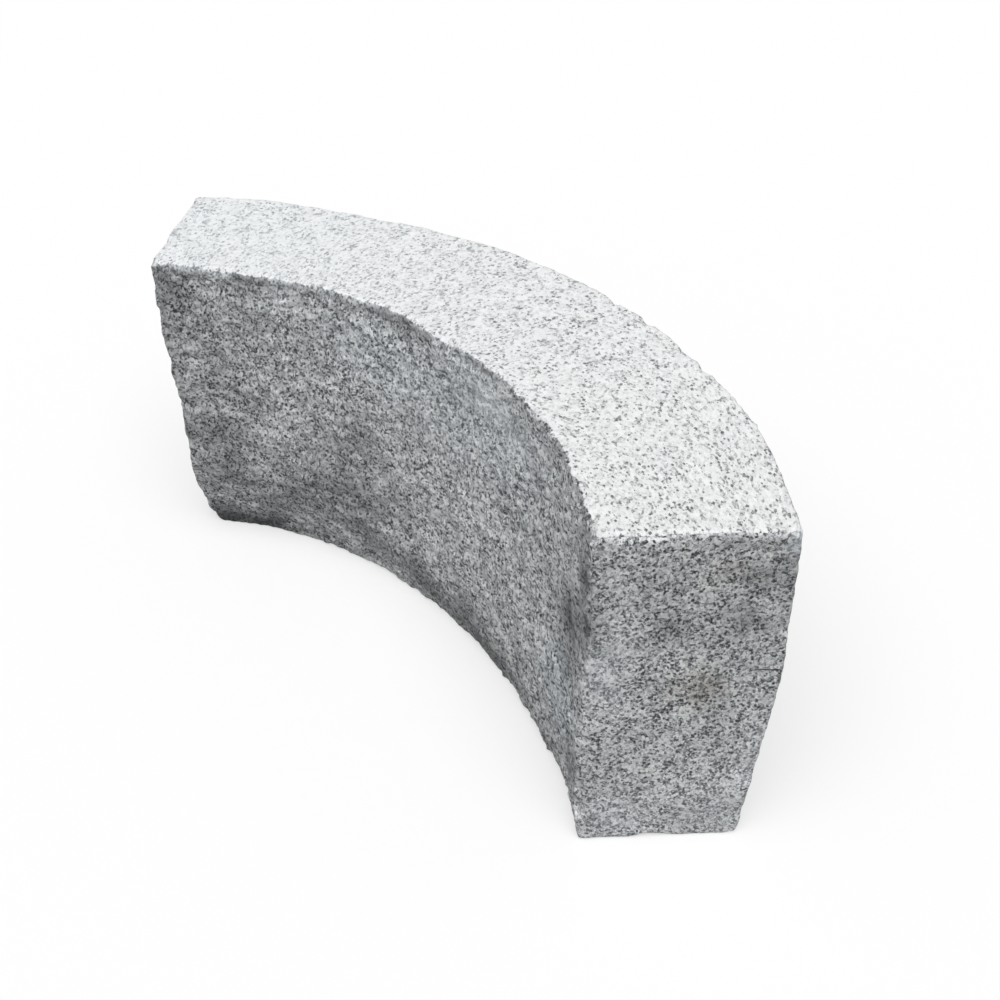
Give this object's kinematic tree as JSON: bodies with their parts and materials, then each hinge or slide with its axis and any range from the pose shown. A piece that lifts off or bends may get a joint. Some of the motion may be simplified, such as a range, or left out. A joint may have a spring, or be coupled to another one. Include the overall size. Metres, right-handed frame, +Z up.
{
  "type": "curved granite kerb stone",
  "caption": "Curved granite kerb stone of upright rectangular section, hewn in one piece to edge a bend in a road, path or planting bed.",
  "frame": {"origin": "on the bed, under the middle of the stone's box", "axes": "+X along the chord of the arc, +Y from the hollow side towards the back, +Z up from the bed to the top face"},
  "size_m": [0.735, 0.2538, 0.3],
  "materials": {
    "granite": "hewn"
  },
  "bodies": {
    "root": {"kerb_stone": "granite"}
  },
  "joints": []
}
